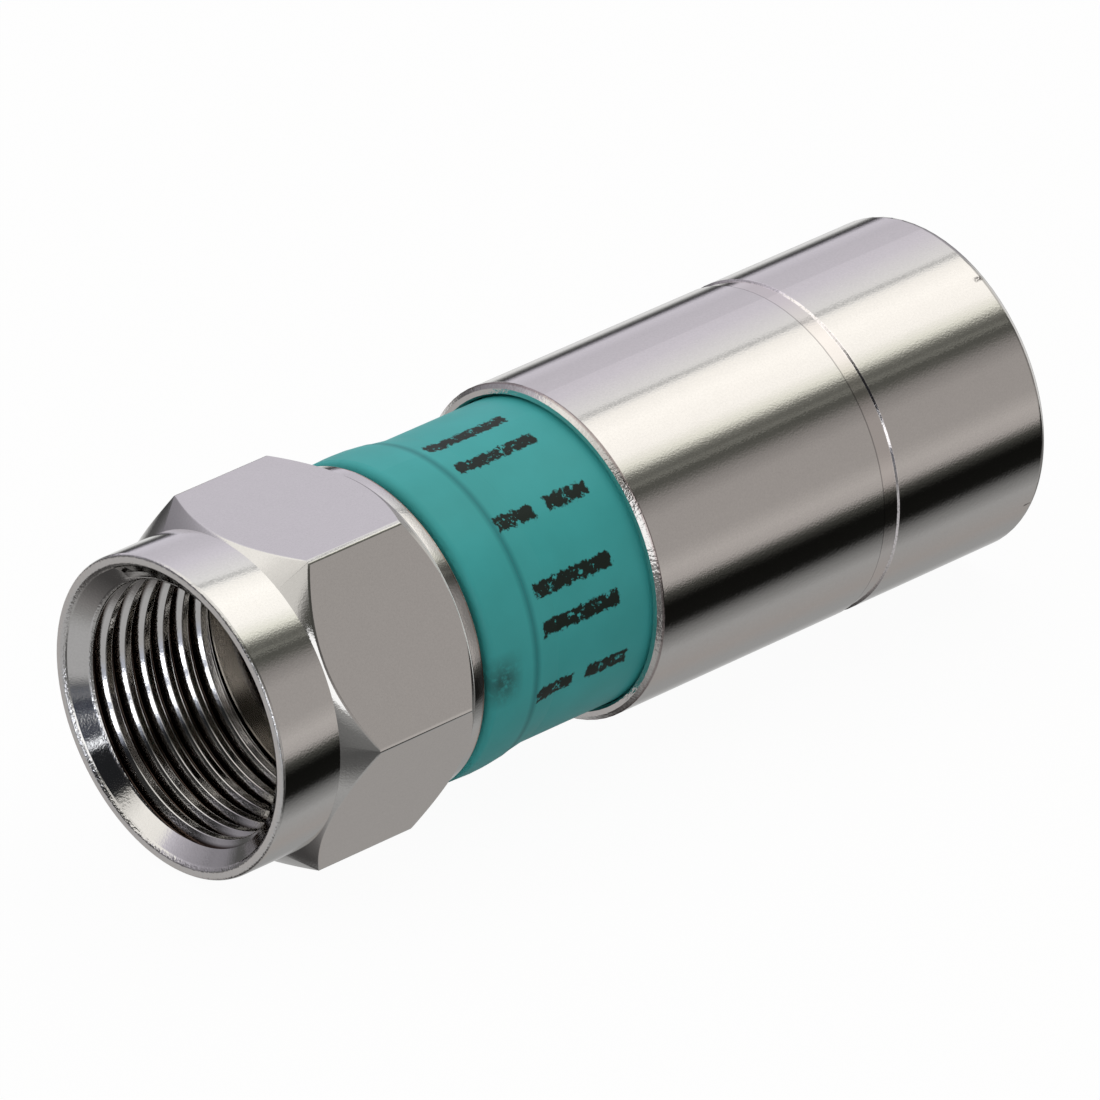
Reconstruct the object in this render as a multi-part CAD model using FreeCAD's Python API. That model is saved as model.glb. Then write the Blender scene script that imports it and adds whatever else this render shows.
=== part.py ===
import FreeCAD, Part
import math
import os

# Radial compression F connector, in millimetres, lying along X.
# The origin is the centre of the post's front face, which is the reference plane of the coupling.
# The nut's mouth points towards -X and the cable enters from +X.

# Thread in the nut, 3/8-32: the bore is plain here, at the thread's crests
thread_crest_radius = 4.37
thread_depth = 0.39
thread_end_to_post_face = 0.65

# Coupling nut, outside; the turn is how far its hexagon lies turned about +X from square
nut_front_to_post_face = 6.10
nut_wall_at_flats = 0.64
nut_turn = -2.1
corner_turned_down = 0.031
collar_below_flats = 0.07
collar_length = 2.36
front_cone_angle = 45.0
rear_cone_angle = 45.0
rear_land_length = 0.47
rear_land_fillet = 0.12
nut_rear_below_flats = 0.05
rim_land = 0.29
rim_round = 0.12
nut_rear_round = 0.08

# Coupling nut, inside
countersink_length = 0.62
relief_clearance = 0.10
lip_thickness = 0.74
lip_bore_clearance = 0.08
lip_edge_chamfer = 0.12
nut_rear_wall = 0.71

# Post
flange_side_clearance = 0.56
flange_thickness = 0.90
flange_round = 0.12
flange_axial_clearance = 0.06
neck_wall = 0.90
shank_wall = 0.40
shank_cone_length = 0.50
post_length = 16.40
barb_height = 0.25
barb_length = 0.90
barb_count = 2
barb_lead_length = 1.10
post_tip_wall = 0.18

# Connector body, outside: the coloured ring with its waist, then the barrel under the sleeve
nut_to_ring_gap = 0.28
ring_length = 1.96
ring_crown_below_flats = 0.02
ring_front_height = 0.22
ring_front_round = 0.28
ring_crown_height = 0.24
ring_crown_from_front = 0.80
ring_rear_height = 0.165
ring_step = 0.02
taper_length = 1.06
nose_wall = 0.45
nose_from_lip = 0.07

# Connector body, inside
post_grip_length = 4.60
barrel_wall = 1.09
cavity_cone_length = 0.70
collar_tip_wall = 0.30
grip_ridge_height = 0.16
grip_ridge_pitch = 0.80
grip_ridge_count = 4
detent_height = 0.12
detent_length = 0.60

# Compression sleeve
sleeve_length = 16.98
sleeve_travel = 4.00
home_overlap_on_taper = 0.08
sleeve_wall = 0.28
mouth_running_clearance = 0.04
mouth_lead_depth = 0.09
mouth_lead_length = 0.14
mouth_chamfer = 0.16
mouth_lip_length = 1.36
detent_end_clearance = 0.05
detent_top_clearance = 0.06
ramp_from_mouth = 9.66
ramp_angle = 30.0
ramp_clearance = 0.06
cable_entry_over_cavity = 0.10
cable_entry_chamfer = 0.55
groove_from_mouth = 9.75
groove_width = 0.66
groove_depth = 0.06
groove_corner = 0.05
rear_round = 0.30

# Seal ring between the nut and the connector body
seal_section_radius = 0.42
seal_seat_clearance = 0.02
seal_side_clearance = 0.03
seal_running_clearance = 0.08

# Radii that follow from the sizes
relief_radius = thread_crest_radius + thread_depth + relief_clearance
flat_radius = relief_radius + nut_wall_at_flats
hex_corner_radius = flat_radius / math.cos(math.radians(30))
turned_corner_radius = hex_corner_radius - corner_turned_down
collar_radius = flat_radius - collar_below_flats
nut_rear_radius = flat_radius - nut_rear_below_flats
countersink_radius = collar_radius - rim_land
seal_bore_radius = nut_rear_radius - nut_rear_wall
seal_ring_radius = seal_bore_radius - seal_running_clearance - seal_section_radius
nose_radius = seal_ring_radius - seal_section_radius - seal_seat_clearance
neck_radius = nose_radius - nose_wall
lip_bore_radius = neck_radius + lip_bore_clearance
flange_radius = relief_radius - flange_side_clearance
post_bore_radius = neck_radius - neck_wall
shank_radius = post_bore_radius + shank_wall
barrel_radius = flat_radius - ring_crown_below_flats - ring_crown_height
cable_cavity_radius = barrel_radius - barrel_wall
mouth_bore_radius = barrel_radius + mouth_running_clearance
detent_radius = barrel_radius + detent_height
sleeve_bore_radius = detent_radius + detent_top_clearance
sleeve_radius = sleeve_bore_radius + sleeve_wall
mouth_edge_radius = mouth_bore_radius + mouth_lead_depth
collar_tip_radius = cable_cavity_radius + collar_tip_wall
cable_entry_radius = cable_cavity_radius + cable_entry_over_cavity

# Places along the axis that follow from the sizes
nut_front = -nut_front_to_post_face
lip_front = flange_thickness + flange_axial_clearance
lip_rear = lip_front + lip_thickness
ring_front = lip_rear + 2 * (seal_section_radius + seal_side_clearance)
nut_rear = ring_front - nut_to_ring_gap
grip_rear = ring_front + post_grip_length
ring_rear = ring_front + ring_length
taper_rear = ring_rear + taper_length
sleeve_front = taper_rear + sleeve_travel - home_overlap_on_taper
sleeve_rear = sleeve_front + sleeve_length
mouth_lip_rear = sleeve_front + mouth_lip_length
ramp_front = sleeve_front + ramp_from_mouth
ramp_slope = math.tan(math.radians(ramp_angle))


class Outline:
    """A closed outline of (x, radius) points, turned about the X axis."""

    def __init__(self, x, radius):
        self.start = self.at = FreeCAD.Vector(x, 0, radius)
        self.edges = []

    def line(self, x, radius):
        end = FreeCAD.Vector(x, 0, radius)
        self.edges.append(Part.makeLine(self.at, end))
        self.at = end
        return self

    def arc(self, through_x, through_radius, x, radius):
        end = FreeCAD.Vector(x, 0, radius)
        through = FreeCAD.Vector(through_x, 0, through_radius)
        self.edges.append(Part.Arc(self.at, through, end).toShape())
        self.at = end
        return self

    def round_corner(self, centre_x, centre_radius, x, radius):
        """An arc about a centre, from the last point to (x, radius)."""
        size = math.hypot(x - centre_x, radius - centre_radius)
        middle_x = (self.at.x + x) / 2 - centre_x
        middle_radius = (self.at.z + radius) / 2 - centre_radius
        reach = size / math.hypot(middle_x, middle_radius)
        return self.arc(centre_x + middle_x * reach, centre_radius + middle_radius * reach, x, radius)

    def turned(self):
        self.line(self.start.x, self.start.z)
        face = Part.Face(Part.Wire(self.edges))
        solid = face.revolve(FreeCAD.Vector(0, 0, 0), FreeCAD.Vector(1, 0, 0), 360)
        return Part.Solid(solid.Shells[0])


def hexagonal_bar(x_from, x_to):
    """A hexagonal bar along X, with its flats at the top and the bottom before it is turned."""
    points = []
    for side in range(7):
        angle = math.radians(60 * side + nut_turn)
        corner = FreeCAD.Vector(0, hex_corner_radius * math.cos(angle), hex_corner_radius * math.sin(angle))
        points.append(corner + FreeCAD.Vector(x_from, 0, 0))
    face = Part.Face(Part.makePolygon(points))
    return face.extrude(FreeCAD.Vector(x_to - x_from, 0, 0))


def make_coupling_nut():
    cone_front = nut_front + collar_length
    cone_length = (turned_corner_radius - collar_radius) / math.tan(math.radians(front_cone_angle))
    rear_slope = math.radians(rear_cone_angle)
    rear_land = nut_rear - rear_land_length
    rear_cone_length = (turned_corner_radius - nut_rear_radius) / math.tan(rear_slope)
    fillet_reach = rear_land_fillet * math.tan(rear_slope / 2)
    thread_end = -thread_end_to_post_face
    thread_run_out = relief_radius - thread_crest_radius

    blank = Outline(nut_front, countersink_radius)
    blank.line(nut_front, collar_radius - rim_round)
    blank.round_corner(nut_front + rim_round, collar_radius - rim_round,
                       nut_front + rim_round, collar_radius)
    blank.line(cone_front, collar_radius)
    blank.line(cone_front + cone_length, turned_corner_radius)
    blank.line(rear_land - rear_cone_length, turned_corner_radius)
    blank.line(rear_land - fillet_reach * math.cos(rear_slope),
               nut_rear_radius + fillet_reach * math.sin(rear_slope))
    blank.round_corner(rear_land + fillet_reach, nut_rear_radius + rear_land_fillet,
                       rear_land + fillet_reach, nut_rear_radius)
    blank.line(nut_rear - nut_rear_round, nut_rear_radius)
    blank.round_corner(nut_rear - nut_rear_round, nut_rear_radius - nut_rear_round,
                       nut_rear, nut_rear_radius - nut_rear_round)
    blank.line(nut_rear, seal_bore_radius)
    blank.line(lip_rear, seal_bore_radius)
    blank.line(lip_rear, lip_bore_radius + lip_edge_chamfer)
    blank.line(lip_rear - lip_edge_chamfer, lip_bore_radius)
    blank.line(lip_front + lip_edge_chamfer, lip_bore_radius)
    blank.line(lip_front, lip_bore_radius + lip_edge_chamfer)
    blank.line(lip_front, relief_radius)
    blank.line(thread_end + thread_run_out, relief_radius)
    blank.line(thread_end, thread_crest_radius)
    blank.line(nut_front + countersink_length, thread_crest_radius)
    return blank.turned().common(hexagonal_bar(nut_front, nut_rear))


def make_post():
    barb_front = post_length - barb_lead_length - barb_count * barb_length
    post = Outline(0, post_bore_radius)
    post.line(0, flange_radius - flange_round)
    post.line(flange_round, flange_radius)
    post.line(flange_thickness, flange_radius)
    post.line(flange_thickness, neck_radius)
    post.line(grip_rear, neck_radius)
    post.line(grip_rear + shank_cone_length, shank_radius)
    post.line(barb_front, shank_radius)
    for barb in range(barb_count):
        post.line(barb_front + barb * barb_length, shank_radius + barb_height)
        post.line(barb_front + (barb + 1) * barb_length, shank_radius)
    post.line(post_length, post_bore_radius + post_tip_wall)
    post.line(post_length, post_bore_radius)
    return post.turned()


def make_connector_body():
    ring_front_radius = barrel_radius + ring_front_height
    # The collar's cone lies just inside the sleeve's ramp when the sleeve is fully home.
    home_ramp_front = ramp_front - sleeve_travel
    ramp_gap = ramp_clearance / math.cos(math.radians(ramp_angle))
    cone_front = home_ramp_front + (sleeve_bore_radius - ramp_gap - barrel_radius) / ramp_slope
    tip = cone_front + (barrel_radius - collar_tip_radius) / ramp_slope
    detent_front = mouth_lip_rear + detent_end_clearance
    detent_rear = detent_front + detent_length

    body = Outline(lip_rear + nose_from_lip, neck_radius)
    body.line(lip_rear + nose_from_lip, nose_radius)
    body.line(ring_front, nose_radius)
    body.line(ring_front, ring_front_radius - ring_front_round)
    body.round_corner(ring_front + ring_front_round, ring_front_radius - ring_front_round,
                      ring_front + ring_front_round, ring_front_radius)
    body.arc(ring_front + ring_crown_from_front, barrel_radius + ring_crown_height,
             ring_rear, barrel_radius + ring_rear_height)
    body.line(ring_rear + ring_step, barrel_radius + ring_rear_height - ring_step)
    body.line(taper_rear, barrel_radius)
    body.line(detent_front, barrel_radius)
    body.line(detent_front, detent_radius)
    body.line(detent_rear - detent_height, detent_radius)
    body.line(detent_rear, barrel_radius)
    body.line(cone_front, barrel_radius)
    body.line(tip, collar_tip_radius)
    body.line(tip, cable_cavity_radius)
    # Saw-tooth ridges inside the collar bite into the cable's jacket.
    for ridge in range(grip_ridge_count):
        ridge_rear = tip - grip_ridge_pitch * (ridge + 0.5)
        body.line(ridge_rear, cable_cavity_radius)
        body.line(ridge_rear - grip_ridge_height, cable_cavity_radius - grip_ridge_height)
        body.line(ridge_rear - grip_ridge_pitch / 2, cable_cavity_radius)
    body.line(grip_rear + cavity_cone_length, cable_cavity_radius)
    body.line(grip_rear, neck_radius)
    return body.turned()


def make_compression_sleeve():
    ramp_rear = ramp_front + (sleeve_bore_radius - cable_entry_radius) / ramp_slope
    groove_front = sleeve_front + groove_from_mouth
    groove_rear = groove_front + groove_width

    sleeve = Outline(sleeve_front + mouth_lead_length, mouth_bore_radius)
    sleeve.line(sleeve_front, mouth_edge_radius)
    sleeve.line(sleeve_front, sleeve_radius - mouth_chamfer)
    sleeve.line(sleeve_front + mouth_chamfer, sleeve_radius)
    sleeve.line(groove_front, sleeve_radius)
    sleeve.line(groove_front + groove_corner, sleeve_radius - groove_depth)
    sleeve.line(groove_rear - groove_corner, sleeve_radius - groove_depth)
    sleeve.line(groove_rear, sleeve_radius)
    sleeve.line(sleeve_rear - rear_round, sleeve_radius)
    sleeve.round_corner(sleeve_rear - rear_round, sleeve_radius - rear_round,
                        sleeve_rear, sleeve_radius - rear_round)
    sleeve.line(sleeve_rear, cable_entry_radius + cable_entry_chamfer)
    sleeve.line(sleeve_rear - cable_entry_chamfer, cable_entry_radius)
    sleeve.line(ramp_rear, cable_entry_radius)
    sleeve.line(ramp_front, sleeve_bore_radius)
    sleeve.line(mouth_lip_rear, sleeve_bore_radius)
    sleeve.line(mouth_lip_rear, mouth_bore_radius)
    return sleeve.turned()


def make_nut_seal():
    """An O-ring on the body's nose, in the bore behind the nut's lip."""
    centre = FreeCAD.Vector((lip_rear + ring_front) / 2, 0, 0)
    return Part.makeTorus(seal_ring_radius, seal_section_radius, centre, FreeCAD.Vector(1, 0, 0))


parts = {
    "coupling_nut": make_coupling_nut(),
    "post": make_post(),
    "connector_body": make_connector_body(),
    "compression_sleeve": make_compression_sleeve(),
    "nut_seal": make_nut_seal(),
}

os.makedirs("parts", exist_ok=True)
for node, shape in parts.items():
    shape.exportStep(f"parts/{node}.step")
    box = shape.BoundBox
    print(node, "valid" if shape.isValid() else "broken", "solids", len(shape.Solids),
          "volume", round(shape.Volume, 2), "from x", round(box.XMin, 2), "to", round(box.XMax, 2))
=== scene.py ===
"""F connector of the compression type: finishes, threaded coupling nut, studio and camera."""

import math

import bmesh
import bpy
from mathutils import Matrix, Vector


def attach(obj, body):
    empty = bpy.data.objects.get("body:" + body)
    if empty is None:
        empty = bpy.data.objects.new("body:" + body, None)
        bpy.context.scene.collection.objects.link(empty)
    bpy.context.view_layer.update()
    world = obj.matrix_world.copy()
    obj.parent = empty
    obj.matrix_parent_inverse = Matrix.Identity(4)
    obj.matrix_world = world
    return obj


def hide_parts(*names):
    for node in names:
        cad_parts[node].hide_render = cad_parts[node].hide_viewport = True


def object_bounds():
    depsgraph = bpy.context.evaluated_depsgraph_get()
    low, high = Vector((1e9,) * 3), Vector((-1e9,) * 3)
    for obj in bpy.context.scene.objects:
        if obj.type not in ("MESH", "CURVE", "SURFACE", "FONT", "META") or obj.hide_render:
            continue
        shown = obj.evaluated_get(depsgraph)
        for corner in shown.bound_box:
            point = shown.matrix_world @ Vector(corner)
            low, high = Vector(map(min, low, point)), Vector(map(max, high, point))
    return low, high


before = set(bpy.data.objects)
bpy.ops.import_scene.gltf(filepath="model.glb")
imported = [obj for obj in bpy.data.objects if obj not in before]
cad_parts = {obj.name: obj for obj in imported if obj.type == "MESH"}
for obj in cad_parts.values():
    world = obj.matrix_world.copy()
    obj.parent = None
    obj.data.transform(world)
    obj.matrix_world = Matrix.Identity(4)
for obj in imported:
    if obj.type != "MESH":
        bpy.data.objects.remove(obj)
cad_low, cad_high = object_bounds()

MM = 0.001


class Value:
    """An output of a node. An expression on it adds the Math nodes that work it out."""

    def __init__(self, finish, socket):
        self.finish, self.socket = finish, socket

    def maths(self, operation, *values):
        return self.finish.node("ShaderNodeMath", {"operation": operation}, dict(enumerate(values)))

    def __add__(self, other):
        return self.maths("ADD", self, other)

    def __radd__(self, other):
        return self.maths("ADD", other, self)

    def __sub__(self, other):
        return self.maths("SUBTRACT", self, other)

    def __rsub__(self, other):
        return self.maths("SUBTRACT", other, self)

    def __mul__(self, other):
        return self.maths("MULTIPLY", self, other)

    def __rmul__(self, other):
        return self.maths("MULTIPLY", other, self)

    def __truediv__(self, other):
        return self.maths("DIVIDE", self, other)

    def __rtruediv__(self, other):
        return self.maths("DIVIDE", other, self)

    def __abs__(self):
        return self.maths("ABSOLUTE", self)

    def remap(self, low, high, start=0.0, end=1.0, smooth=False):
        """Goes from start at low to end at high, and stays there beyond them."""
        settings = {"interpolation_type": "SMOOTHSTEP" if smooth else "LINEAR", "clamp": True}
        values = {"Value": self, "From Min": low, "From Max": high, "To Min": start, "To Max": end}
        return self.finish.node("ShaderNodeMapRange", settings, values)


class Nodes:
    """A node tree with one way to add a node: its type, its settings, then its values and links."""

    def __init__(self, tree):
        self.tree = tree

    def node(self, kind, settings=None, values=None, out=0):
        made = self.tree.nodes.new(kind)
        for name, value in (settings or {}).items():
            if name == "stops":
                self.set_stops(made.color_ramp, value)
            else:
                setattr(made, name, value)
        for name, value in (values or {}).items():
            self.connect(made.inputs[name], value)
        return Value(self, made.outputs[out])

    def set_stops(self, ramp, stops):
        while len(ramp.elements) < len(stops):
            ramp.elements.new(0.5)
        for element, (position, colour) in zip(ramp.elements, stops):
            element.position = position
            element.color = (*colour, 1.0)

    def connect(self, socket, value):
        if isinstance(value, Value):
            self.tree.links.new(value.socket, socket)
        elif isinstance(value, (tuple, list)) and len(value) == 3 and socket.type == "RGBA":
            socket.default_value = (*value, 1.0)
        else:
            socket.default_value = value

    def mix(self, factor, first, second):
        settings = {"data_type": "RGBA", "blend_type": "MIX", "clamp_factor": True}
        return self.node("ShaderNodeMix", settings, {0: factor, 6: first, 7: second}, out=2)

    def split(self, vector):
        made = self.node("ShaderNodeSeparateXYZ", None, {0: vector}).socket.node
        return [Value(self, made.outputs[i]) for i in range(3)]

    def around(self, across, up):
        """The turn about the connector's axis in degrees, from straight up towards the camera's side."""
        return self.node("ShaderNodeMath", {"operation": "ARCTAN2"}, {0: 0 - across, 1: up}) * (180 / math.pi)


class Finish(Nodes):
    """A material on a Principled shader, with the place on the piece in millimetres."""

    def __init__(self, name, **constants):
        self.material = bpy.data.materials.new(name)
        self.material.use_nodes = True
        super().__init__(self.material.node_tree)
        self.shader = self.tree.nodes["Principled BSDF"]
        for socket, value in constants.items():
            self.connect(self.shader.inputs[socket.replace("_", " ").title()], value)
        place = self.node("ShaderNodeTexCoord", out="Object")
        self.place = self.node("ShaderNodeVectorMath", {"operation": "SCALE"}, {0: place, 3: 1 / MM})
        self.along, self.across, self.up = self.split(self.place)
        self.turn = self.around(self.across, self.up)
        spread = self.across * self.across + self.up * self.up
        self.radius = self.node("ShaderNodeMath", {"operation": "SQRT"}, {0: spread})

    def noise(self, scale, detail=2.0, roughness=0.5, place=None):
        values = {"Vector": place or self.place, "Scale": scale, "Detail": detail, "Roughness": roughness}
        return self.node("ShaderNodeTexNoise", None, values)

    def stretched(self, along, round_axis):
        """The place with its length and its turn scaled apart, for marks that run round the axis."""
        scales = (along, round_axis, round_axis)
        return self.node("ShaderNodeVectorMath", {"operation": "MULTIPLY"}, {0: self.place, 1: scales})

    def bump(self, height, strength, distance):
        values = {"Height": height, "Strength": strength, "Distance": distance}
        normal = self.node("ShaderNodeBump", None, values)
        if self.shader.inputs["Normal"].is_linked:
            before = self.shader.inputs["Normal"].links[0].from_socket
            self.tree.links.new(before, normal.socket.node.inputs["Normal"])
        self.connect(self.shader.inputs["Normal"], normal)

    def set(self, **sockets):
        for socket, value in sockets.items():
            self.connect(self.shader.inputs[socket.replace("_", " ").title()], value)

    def zone(self, value, low, high, soft):
        """One between low and high, and nothing outside, with edges that are soft by that much each way."""
        return value.remap(low - soft, low + soft) * value.remap(high - soft, high + soft, 1, 0)


SLEEVE_NICKEL, NUT_NICKEL = (0.72, 0.70, 0.675), (0.735, 0.722, 0.70)
GRAIN_HEIGHT, TURNING_MARKS_HEIGHT = 0.0025 * MM, 0.004 * MM


def nickel(name, colour=SLEEVE_NICKEL, tone_of=None):
    """Bright nickel plate over turned brass: a fine grain that breaks up the edges of what it mirrors."""
    finish = Finish(name, metallic=1.0)
    finish.fine = finish.noise(14.0, 2.0, 0.6)
    mottle = finish.noise(1.6, 3.0, 0.55)
    marks = finish.noise(1.0, 3.0, 0.6, finish.stretched(14.0, 0.7))
    tone = (finish.fine - 0.5) * 0.80 + (mottle - 0.5) * 0.22 + 0.5
    dark = tuple(c * 0.90 for c in colour)
    light = tuple(min(c * 1.08, 1.0) for c in colour)
    plate = finish.mix(tone, dark, light)
    finish.set(base_color=tone_of(finish, plate) if tone_of else plate)
    finish.set(roughness=mottle * 0.05 + 0.05)
    finish.bump(finish.fine, 0.8, GRAIN_HEIGHT)
    finish.bump(marks, 0.12, TURNING_MARKS_HEIGHT)
    return finish


# Where the sleeve's plate changes tone, in millimetres along the axis, and the tones, among them painted
# shade and a painted highlight at the groove's edges.
GROOVE_FLOOR, GROOVE_FRONT, GROOVE_REAR = (19.36, 19.90), (19.27, 19.35), (19.88, 19.97)
MOUTH_CHAMFER_END = 9.66, 9.74
PINKISH, GROOVE_SHADE_LINE, PAINTED_GROOVE_HIGHLIGHT = (0.74, 0.69, 0.66), (0.16, 0.14, 0.14), (0.98, 0.93, 0.93)
NICK_TONE, DULL_BROWN = (0.10, 0.09, 0.09), (0.34, 0.25, 0.24)
# Each nick: along from, to and softness, then turn from, to and softness.
REAR_NICKS = [(25.98, 26.30, 0.05, 28.0, 29.6, 0.4), (25.95, 26.22, 0.03, 113.2, 113.9, 0.2)]


def sleeve_tones_and_painted_light(finish, plate):
    """The fine groove near the rear, with painted shade along its front edge and a painted highlight along
    its rear edge, two nicks behind it, and a dull line at the mouth's chamfer.
    """
    along, broken = finish.along, finish.fine.remap(0.35, 0.55)
    plate = finish.mix(finish.zone(along, *GROOVE_FLOOR, 0.01) * 0.6, plate, PINKISH)
    # Painted shade along the groove's front edge, then a painted highlight along its rear edge.
    plate = finish.mix(finish.zone(along, *GROOVE_FRONT, 0.02) * 0.8, plate, GROOVE_SHADE_LINE)
    plate = finish.mix(finish.zone(along, *GROOVE_REAR, 0.02) * broken, plate, PAINTED_GROOVE_HIGHLIGHT)
    nicks = [finish.zone(along, *n[:3]) * finish.zone(finish.turn, *n[3:]) for n in REAR_NICKS]
    plate = finish.mix((nicks[0] + nicks[1]) * broken, plate, NICK_TONE)
    return finish.mix(finish.zone(along, *MOUTH_CHAMFER_END, 0.02) * 0.6, plate, DULL_BROWN)


# Painted shade for the thread's roots, and the brass under the plate.
PAINTED_ROOT_SHADE, BARE_BRASS = (0.075, 0.052, 0.042), (0.42, 0.25, 0.17)


def nut_tones_and_painted_shade(finish, plate):
    """Painted shade darkens the thread towards its roots, and the brass shows through at the rear edge."""
    in_thread = finish.along.remap(-0.62, -0.45, 1, 0) * finish.along.remap(-5.60, -5.50)
    # Painted shade in the thread's roots, where the flanks meet.
    root_shade_depth = finish.radius.remap(4.52, 4.62) * finish.radius.remap(4.80, 4.85, 1, 0)
    plate = finish.mix(in_thread * root_shade_depth, plate, PAINTED_ROOT_SHADE)
    rear_edge = finish.along.remap(2.20, 2.25) * finish.radius.remap(5.28, 5.34)
    return finish.mix(rear_edge * finish.fine.remap(0.30, 0.50) * 0.75, plate, BARE_BRASS)


nickel_sleeve = nickel("nickel_sleeve_finish", tone_of=sleeve_tones_and_painted_light)
nickel_nut = nickel("nickel_nut_finish", NUT_NICKEL, nut_tones_and_painted_shade)
nickel_post = nickel("nickel_post_finish")
# Sparkle on the nut's rim and on the sleeve's mouth, where the plate is rough.
rim_zone = nickel_nut.along.remap(-6.02, -5.98, 1, 0) + nickel_nut.zone(nickel_nut.along, -5.56, -5.42, 0.02)
rim_zone = rim_zone * nickel_nut.radius.remap(5.40, 5.42, 1, 0)
nickel_nut.bump(nickel_nut.noise(9.0, 2.0, 0.6) * rim_zone, 1.0, 0.02 * MM)
mouth_zone = nickel_sleeve.along.remap(9.70, 9.74, 1, 0)
nickel_sleeve.bump(nickel_sleeve.noise(9.0, 2.0, 0.6) * mouth_zone, 1.0, 0.015 * MM)

TEAL_LIGHT, TEAL_DARK = (0.076, 0.540, 0.540), (0.069, 0.490, 0.485)
WAIST_PAINTED_SHADE, DARK_PATCH_TONE, BLACK_INK = (0.020, 0.235, 0.250), (0.036, 0.110, 0.105), (0.010, 0.020, 0.014)
# Plain bars of rough black ink, from and to along the axis and by turn.
INK_BARS = [
    (5.0, 8.3, -6.0, -0.8), (5.0, 8.3, 9.5, 14.7), (4.7, 6.3, 35.5, 41.0), (6.9, 8.6, 35.5, 41.0),
    (5.0, 8.3, 61.5, 67.0), (5.0, 8.3, 75.5, 81.0), (4.7, 6.3, 100.5, 106.0), (6.9, 8.6, 100.5, 106.0),
]
plastic = Finish("green_plastic_finish", roughness=0.45)
plastic.shader.inputs["Specular IOR Level"].default_value = 0.25
cloud = plastic.noise(0.5, 3.0, 0.5)
skin = plastic.noise(7.0, 3.0, 0.55)
ragged = plastic.noise(4.5, 3.0, 0.65)
teal = plastic.mix(cloud.remap(0.3, 0.7), TEAL_DARK, TEAL_LIGHT)
# Painted shade along the waist's crease, which the bump below also dents.
waist_crease_and_shade = plastic.zone(plastic.along, 4.44, 4.70, 0.11)
teal = plastic.mix(waist_crease_and_shade * 0.70, teal, WAIST_PAINTED_SHADE)
# A ragged dark patch on the ring's side towards the camera, just behind the nut.
dark_patch = plastic.zone(plastic.along, 2.55, 3.60, 0.35) * plastic.zone(plastic.turn, 83.5, 95.0, 5.0)
teal = plastic.mix(dark_patch * ragged.remap(0.20, 0.50) * 0.85, teal, DARK_PATCH_TONE)
ink_along = plastic.along + (ragged - 0.5) * 0.45
ink_turn = plastic.turn + (plastic.noise(5.5, 3.0, 0.6) - 0.5) * 4.5
ink = 0
for bar in INK_BARS:
    ink = ink + plastic.zone(ink_along, *bar[:2], 0.03) * plastic.zone(ink_turn, *bar[2:], 0.3)
ink = ink * plastic.noise(3.2, 4.0, 0.7).remap(0.37, 0.42)
plastic.set(base_color=plastic.mix(ink, teal, BLACK_INK))
plastic.bump(skin, 0.2, 0.006 * MM)
plastic.bump(waist_crease_and_shade, 0.35, -0.02 * MM)

rubber = Finish("black_rubber_finish", roughness=0.55)
dust = rubber.noise(3.0, 3.0, 0.6)
rubber.set(base_color=rubber.mix(dust, (0.012, 0.012, 0.013), (0.030, 0.030, 0.031)))
rubber.bump(dust, 0.3, 0.01 * MM)


def dress(node, finish):
    """Puts a finish on a node that is shown as it comes."""
    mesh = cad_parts[node].data
    mesh.materials.clear()
    mesh.materials.append(finish.material)


dress("compression_sleeve", nickel_sleeve)
dress("connector_body", plastic)
dress("post", nickel_post)
dress("nut_seal", rubber)

# The coupling nut in millimetres: turned from its profile, cut to six flats, then threaded.
NUT_STEPS = 180
HALF_ACROSS_FLATS, NUT_TURN = 5.50, -2.1
RIM, CONE_FOOT, LAND = (-6.10, 5.43), (1.85, 5.45), (2.32, 5.45)
NUT_OUTSIDE = [RIM, (-3.74, 5.43), (-2.85, 6.32), (0.98, 6.32), CONE_FOOT, LAND]
NUT_REAR_RECESS = [(2.32, 4.74), (1.70, 4.74)]
NUT_LIP = [(1.70, 3.43), (0.96, 3.43)]
NUT_RELIEF = [(0.96, 4.86), (-0.16, 4.86), (-0.65, 4.37)]
# The countersink has two more rings near its ends, which keep it straight as it mirrors.
RIM_INSIDE, BORE_EDGE, SINK_INNER, SINK_OUTER = (-6.10, 5.14), (-5.48, 4.37), (-5.5605, 4.47), (-6.06, 5.09)
NUT_PROFILE = [
    RIM_INSIDE, *NUT_OUTSIDE, *NUT_REAR_RECESS, *NUT_LIP, *NUT_RELIEF, BORE_EDGE, SINK_INNER, SINK_OUTER,
]
# Each turned edge that is rounded, with its radius and its segments.
ROUNDED_EDGES = [
    (RIM, 0.12, 4), (RIM_INSIDE, 0.03, 2), (CONE_FOOT, 0.05, 3), (BORE_EDGE, 0.06, 3), (LAND, 0.08, 3),
]
THREAD_PITCH, THREAD_ROOT, THREAD_CREST, THREAD_LEAN = 25.4 / 32, 4.76, 4.37, math.radians(30)
THREAD_START, THREAD_TURNS, THREAD_STEPS = -6.56, 9.0, 120
ROOT_ROUND, CREST_ROUND = 0.07, 0.06
CUTTER_PAST_CREST, ROUND_PAST_CREST = 0.2, 0.002
# Faces of the nut from this area on are its flats. Their edges that lie wholly behind a place stay as cut.
SMALLEST_FLAT, REAR_EDGES_FROM, EDGE_WEAR = 5.0, 0.9, 0.05
SHARP_FROM = 28


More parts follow.
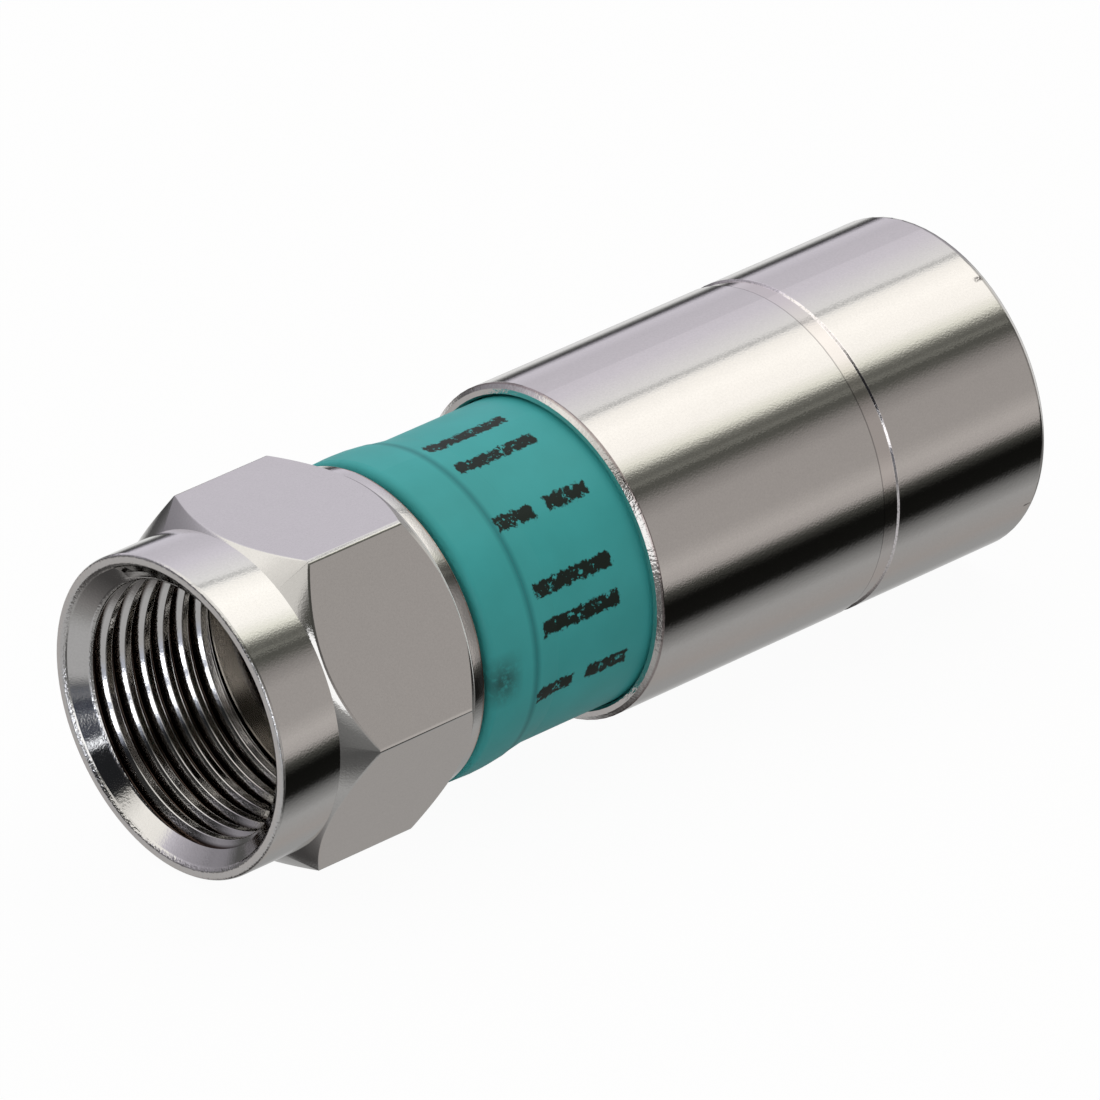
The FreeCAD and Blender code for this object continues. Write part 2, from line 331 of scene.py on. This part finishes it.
def turned(profile, steps):
    """A closed shell turned about the X axis from a closed profile of (along, radius)."""
    work = bmesh.new()
    corners = [work.verts.new((x, 0.0, r)) for x, r in profile]
    sides = [work.edges.new(pair) for pair in zip(corners, corners[1:] + corners[:1])]
    bmesh.ops.spin(
        work, geom=corners + sides, cent=(0, 0, 0), axis=(1, 0, 0), angle=2 * math.pi, steps=steps,
        use_merge=True,
    )
    bmesh.ops.recalc_face_normals(work, faces=work.faces)
    return work


def ring_edges(work, place, reach=1e-4):
    """The edges of the circle at a place along the axis and a radius."""
    along, radius = place

    def on_circle(v):
        return abs(v.co.x - along) < reach and abs(math.hypot(v.co.y, v.co.z) - radius) < reach
    return [e for e in work.edges if all(on_circle(v) for v in e.verts)]


def round_edges(work, edges, size, segments):
    """Rounds edges by a size."""
    bmesh.ops.bevel(
        work, geom=edges, offset=size, offset_type="OFFSET", affect="EDGES", segments=segments, profile=0.5,
        material=-1,
    )


def outward(degrees):
    """The direction out from the axis at a turn about it, from straight up towards the camera's side."""
    return Vector((0, -math.sin(math.radians(degrees)), math.cos(math.radians(degrees))))


def cut_flats(work, half_width, count, turn):
    """Cuts flats at an equal distance from the axis and closes each with one face."""
    for i in range(count):
        out = outward(turn + 360 / count * i)
        everything = work.verts[:] + work.edges[:] + work.faces[:]
        cut = bmesh.ops.bisect_plane(
            work, geom=everything, dist=1e-6, plane_co=out * half_width, plane_no=out, clear_outer=True
        )
        rim = [g for g in cut["geom_cut"] if isinstance(g, bmesh.types.BMEdge)]
        bmesh.ops.contextual_create(work, geom=rim)


def wear_edges(work, size):
    """Breaks the corners and the front edges of the flats by a little, as plating and wear leave them."""
    flats = [f for f in work.faces if f.calc_area() > SMALLEST_FLAT and abs(f.normal.x) < 1e-3]
    edges = {e for f in flats for e in f.edges if min(v.co.x for v in e.verts) < REAR_EDGES_FROM}
    round_edges(work, list(edges), size, 2)


def arc(centre, radius, first, last, steps):
    """Points on an arc of a thread's section, by the angle from straight out towards the flank."""
    angles = [first + (last - first) * step / steps for step in range(steps + 1)]
    return [(centre[0] + radius * math.sin(a), centre[1] + radius * math.cos(a)) for a in angles]


def thread_cutter():
    """The groove of an internal thread as a closed helical bar, with 60 degree flanks and round corners."""
    root_half = THREAD_PITCH / 16
    mouth_half = root_half + (THREAD_ROOT - THREAD_CREST) * math.tan(THREAD_LEAN)
    root_centre = root_half - ROOT_ROUND * math.tan(THREAD_LEAN), THREAD_ROOT - ROOT_ROUND
    crest_middle = THREAD_CREST + CREST_ROUND + ROUND_PAST_CREST
    crest_centre = mouth_half + CREST_ROUND * math.tan(THREAD_LEAN), crest_middle
    flank = math.pi / 2 - THREAD_LEAN
    half = arc(root_centre, ROOT_ROUND, 0, flank, 3) + arc(crest_centre, -CREST_ROUND, flank, 0, 4)
    half.append((half[-1][0], THREAD_CREST - CUTTER_PAST_CREST))
    section = half + [(-x, r) for x, r in reversed(half)]
    work = bmesh.new()
    corners = [work.verts.new((THREAD_START + x, 0.0, r)) for x, r in section]
    sides = [work.edges.new(pair) for pair in zip(corners, corners[1:] + corners[:1])]
    bmesh.ops.spin(
        work, geom=corners + sides, cent=(0, 0, 0), axis=(1, 0, 0), dvec=(THREAD_PITCH / THREAD_STEPS, 0, 0),
        angle=2 * math.pi * THREAD_TURNS, steps=int(THREAD_TURNS * THREAD_STEPS), use_merge=False,
    )
    bmesh.ops.holes_fill(work, edges=work.edges[:], sides=len(section))
    bmesh.ops.recalc_face_normals(work, faces=work.faces)
    return work


def as_object(work, name):
    """Makes an object of a mesh that has been worked on."""
    mesh = bpy.data.meshes.new(name)
    work.to_mesh(mesh)
    work.free()
    made = bpy.data.objects.new(name, mesh)
    bpy.context.scene.collection.objects.link(made)
    return made


def cut_away(piece, cutter):
    """Takes the cutter out of the piece and deletes it."""
    modifier = piece.modifiers.new("cut", "BOOLEAN")
    modifier.operation, modifier.solver, modifier.object = "DIFFERENCE", "MANIFOLD", cutter
    bpy.context.view_layer.update()
    cut = bpy.data.meshes.new_from_object(piece.evaluated_get(bpy.context.evaluated_depsgraph_get()))
    piece.modifiers.clear()
    piece.data = cut
    bpy.data.objects.remove(cutter)


def keep_flats_crisp(mesh):
    """Marks the edges round the flats as sharp, so that each flat mirrors as a plane."""
    work = bmesh.new()
    work.from_mesh(mesh)
    ways = [outward(NUT_TURN + 60 * i) for i in range(6)]
    for edge in work.edges:
        on_flat = [any(f.normal.dot(way) > 1 - 1e-6 for way in ways) for f in edge.link_faces]
        if any(on_flat) and not all(on_flat):
            edge.smooth = False
    work.to_mesh(mesh)
    work.free()


def finish_piece(piece, finish, body, node):
    """Shades a piece made in millimetres, scales it, and puts it on its body in place of its node."""
    piece.data.materials.clear()
    piece.data.materials.append(finish.material)
    piece.data.shade_smooth()
    piece.data.set_sharp_from_angle(angle=math.radians(SHARP_FROM))
    keep_flats_crisp(piece.data)
    piece.data.transform(Matrix.Scale(MM, 4))
    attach(piece, body)
    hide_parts(node)


nut_work = turned(NUT_PROFILE, NUT_STEPS)
for edge_place, size, segments in ROUNDED_EDGES:
    round_edges(nut_work, ring_edges(nut_work, edge_place), size, segments)
cut_flats(nut_work, HALF_ACROSS_FLATS, 6, NUT_TURN)
wear_edges(nut_work, EDGE_WEAR)
nut = as_object(nut_work, "threaded_nut")
cut_away(nut, as_object(thread_cutter(), "thread_groove"))
finish_piece(nut, nickel_nut, "nut", "coupling_nut")

# The floor shows white to the camera and keeps a soft shadow.
FLOOR_REACH, FLOOR_GREY, FLOOR_GLOW, GLOW_SHARE = 1.5, (0.60, 0.60, 0.60), 1.04, 0.92
floor_work = bmesh.new()
bmesh.ops.create_grid(floor_work, x_segments=1, y_segments=1, size=FLOOR_REACH)
floor = as_object(floor_work, "studio_floor")
floor.data.transform(Matrix.Translation((0, 0, cad_low.z)))
floor.visible_glossy = False
floor_paint = bpy.data.materials.new("floor_paint")
floor_paint.use_nodes = True
paint = Nodes(floor_paint.node_tree)
paint.tree.nodes.remove(paint.tree.nodes["Principled BSDF"])
matt = paint.node("ShaderNodeBsdfDiffuse", None, {"Color": FLOOR_GREY})
glow = paint.node("ShaderNodeEmission", None, {"Color": (1.0, 1.0, 1.0), "Strength": FLOOR_GLOW})
seen = paint.node("ShaderNodeLightPath", out="Is Camera Ray")
shown = paint.node("ShaderNodeMixShader", None, {0: seen * GLOW_SHARE, 1: matt, 2: glow})
paint.connect(paint.tree.nodes["Material Output"].inputs["Surface"], shown)
floor.data.materials.append(floor_paint)

# The studio as the metal sees it: the light at each turn about the connector's axis, with its tint.
NEUTRAL, LAVENDER, WARM = (1, 1, 1), (0.99, 0.95, 1.06), (1.04, 0.98, 0.95)
CREAM, OLIVE, PINK = (1.01, 0.99, 0.955), (1, 1, 0.9), (1.02, 0.98, 0.98)
STUDIO_BEHIND = [
    (-180, 0.38, WARM), (-165, 0.36, NEUTRAL), (-153, 0.35, NEUTRAL), (-141, 0.46, NEUTRAL),
    (-130, 0.66, NEUTRAL), (-108, 0.80, NEUTRAL), (-98, 0.07, NEUTRAL), (-93.5, 0.07, LAVENDER),
    (-87.5, 0.75, LAVENDER), (-73, 0.66, LAVENDER), (-57, 0.71, LAVENDER), (-45, 0.80, LAVENDER),
    (-21.2, 0.96, NEUTRAL), (-19.6, 0.30, NEUTRAL), (-18.0, 0.95, NEUTRAL), (-14.0, 1.22, CREAM),
    (-2, 1.37, CREAM), (17, 1.28, CREAM), (26, 1.00, OLIVE), (31.5, 0.22, OLIVE), (36.5, 0.11, OLIVE),
    (38.5, 0.26, OLIVE), (40.5, 0.09, OLIVE), (45, 0.11, OLIVE), (52, 0.28, WARM), (62, 0.40, WARM),
    (86, 0.41, WARM), (98, 0.53, WARM), (106.5, 0.46, WARM), (112.5, 0.07, OLIVE), (120, 0.006, OLIVE),
    (136, 0.008, OLIVE), (145, 0.21, NEUTRAL), (158, 0.41, NEUTRAL),
]
STUDIO_BEFORE = [
    (-180, 0.17, PINK), (-174, 0.11, PINK), (-165, 0.06, PINK), (-156, 0.06, PINK), (-145, 0.44, PINK),
    (-127, 0.48, PINK), (-106, 0.46, PINK), (-99, 0.10, NEUTRAL), (-93, 0.10, NEUTRAL),
    (-86, 0.27, LAVENDER), (-76, 0.32, LAVENDER), (-66, 0.40, LAVENDER), (-55, 0.55, LAVENDER),
    (-49, 0.72, LAVENDER), (-44, 1.05, CREAM), (-25, 1.10, CREAM), (-16, 0.92, CREAM), (0, 0.78, CREAM),
    (18, 0.74, CREAM), (25, 0.30, CREAM), (32, 0.09, OLIVE), (48, 0.06, OLIVE), (60, 0.12, WARM),
    (76, 0.38, WARM), (100, 0.30, NEUTRAL), (106, 0.19, NEUTRAL), (118, 0.16, NEUTRAL),
    (131, 0.09, NEUTRAL), (138, 0.12, NEUTRAL), (150, 0.42, NEUTRAL), (164, 0.36, NEUTRAL),
    (176, 0.22, PINK),
]
LAMP_REACH, PAST_LAMP = 1.85, (0.03, 0.03, 0.03)
ROOM_DARK, ROOM_DIM, ROOM_BRIGHT = (0.015, 0.016, 0.018), (0.045, 0.050, 0.068), (0.28, 0.30, 0.36)
WALL_GREY, CARD_WHITE = (0.47, 0.47, 0.48), (1.30, 1.31, 1.33)
FAR_SHADE, FAR_WALL = (0.05, 0.05, 0.05), (0.80, 0.80, 0.80)
CARD_AHEAD, CARD_ASIDE = (-0.82, -0.5724), (-0.5724, 0.82)
# Each lamp that the mouth sees: across, up, size, light, core and length.
MOUTH_LAMPS = [
    (-0.34, 0.19, 0.04, (1.6, 1.65, 1.75), 0.5, 1.0),
    (-0.478, -0.189, 0.05, (0.22, 0.225, 0.24), 0.5, 1.0),
    (-0.23, -0.09, 0.12, (0.58, 0.62, 0.74), 0.6, 2.7),
    (-0.30, -0.17, 0.088, (4.2, 4.3, 4.6), 0.7, 1.0),
    (-0.225, 0.05, 0.088, (4.2, 4.3, 4.6), 0.7, 1.0),
]
scene = bpy.context.scene
world = bpy.data.worlds.new("studio")
scene.world = world
world.use_nodes = True
studio = Nodes(world.node_tree)
studio.tree.nodes.clear()
way = studio.node("ShaderNodeTexCoord", out="Generated")
east, north, sky = studio.split(way)
turn = studio.around(north, sky)


def bands(table):
    """The light by turn, closed to a full circle. One ramp holds 32 stops, so there is one for each side."""
    table = table + [(180, *table[0][1:])]
    top = min(table, key=lambda band: abs(band[0]))
    halves = []
    for half in ([b for b in table if b[0] <= top[0]], [b for b in table if b[0] >= top[0]]):
        first, last = half[0][0], half[-1][0]
        stops = [((a - first) / (last - first), tuple(level * c for c in tint)) for a, level, tint in half]
        halves.append(studio.node("ShaderNodeValToRGB", {"stops": stops}, {"Fac": turn.remap(first, last)}))
    return studio.mix(turn.remap(top[0] - 0.01, top[0] + 0.01), *halves)


def lamp(seen, across, up, size, light, core, length):
    """Adds a lamp in front of the mouth, at a place across and up as the mouth sees it. A long one leans."""
    off_across, off_up = north - across, sky - up
    off_wide = (off_across * 0.945 - off_up * 0.33) / size
    off_long = (off_across * 0.33 + off_up * 0.945) / (size * length)
    near = 1 - off_wide * off_wide - off_long * off_long
    return studio.mix(near.remap(0, core) * east.remap(-0.1, 0, 1, 0), seen, light)


behind = east.remap(0.06, 0.18, 0, 1, True)
studio_light = studio.mix(behind, bands(STUDIO_BEFORE), bands(STUDIO_BEHIND))
# The ceiling lamp ends in front of the nut, and the dark room with its few bright specks shows past it.
past_lamp = (0 - east - sky * LAMP_REACH).remap(-0.03, 0.03)
past_lamp = past_lamp * turn.remap(-80, -68) * turn.remap(44, 50, 1, 0)
studio_light = studio.mix(past_lamp, studio_light, PAST_LAMP)
room = (0 - east).remap(0.82, 0.87) * north.remap(-0.03, 0.02, 1, 0) * sky.remap(-0.33, -0.25)
specks = studio.node("ShaderNodeTexNoise", None, {"Vector": way, "Scale": 22.0, "Detail": 2.0})
specks = studio.mix(specks.remap(0.52, 0.68), ROOM_DIM, ROOM_BRIGHT)
specks = studio.mix(sky.remap(0.12, 0.22), specks, ROOM_DARK)
studio_light = studio.mix(room, studio_light, specks)
# A grey wall low in front, then the small lamps and the glow between them.
ahead = east * CARD_AHEAD[0] + north * CARD_AHEAD[1]
aside = east * CARD_ASIDE[0] + north * CARD_ASIDE[1]
low_wall = (0 - east).remap(0.55, 0.65) * sky.remap(-0.36, -0.27, 1, 0) * aside.remap(-0.04, 0.03)
studio_light = studio.mix(low_wall, studio_light, WALL_GREY)
for mouth_lamp in MOUTH_LAMPS:
    studio_light = lamp(studio_light, *mouth_lamp)
# A white card stands beside the camera, and a wall closes the far end.
card = (ahead * 0.25 - abs(aside + ahead * 0.09)).remap(-0.02, 0.02)
card = card * (sky + ahead * 0.02).remap(-0.02, 0.02) * (ahead * 0.60 - sky).remap(-0.02, 0.02)
studio_light = studio.mix(card * ahead.remap(0.0, 0.1), studio_light, CARD_WHITE)
studio_light = studio.mix(east.remap(0.68, 0.74) * 0.5, studio_light, FAR_SHADE)
studio_light = studio.mix(east.remap(0.88, 0.93), studio_light, FAR_WALL)
camera_sees = studio.node("ShaderNodeLightPath", out="Is Camera Ray")
colour = studio.mix(camera_sees, studio_light, (1.0, 1.0, 1.0))
light = studio.node("ShaderNodeBackground", None, {"Color": colour, "Strength": 1.0})
output = studio.tree.nodes.new("ShaderNodeOutputWorld")
studio.connect(output.inputs["Surface"], light)

# The camera, as in the photograph: a long lens that looks down on the mouth of the nut.
CAMERA_RIGHT = Vector((0.7399, -0.6727, 0.0))
CAMERA_UP = Vector((0.3296, 0.3626, 0.8717))
CAMERA_BACK = Vector((-0.5864, -0.6450, 0.4900))
NUT_MOUTH = Vector((-6.10, 0.0, 0.0))
TO_RIGHT, TO_TOP, DISTANCE, FOCAL_LENGTH = 11.92, 5.26, 476.0, 498.8
camera_place = NUT_MOUTH + TO_RIGHT * CAMERA_RIGHT + TO_TOP * CAMERA_UP + DISTANCE * CAMERA_BACK
lens = bpy.data.cameras.new("long_lens")
lens.sensor_width = 36.0
lens.lens = FOCAL_LENGTH
lens.clip_start, lens.clip_end = 0.01, 10.0
camera = bpy.data.objects.new("camera", lens)
scene.collection.objects.link(camera)
turn_matrix = Matrix((CAMERA_RIGHT, CAMERA_UP, CAMERA_BACK)).transposed().to_4x4()
camera.matrix_world = Matrix.Translation(camera_place * MM) @ turn_matrix
scene.camera = camera

scene.view_settings.view_transform = "Standard"
scene.cycles.max_bounces = 10
scene.cycles.glossy_bounces = 9
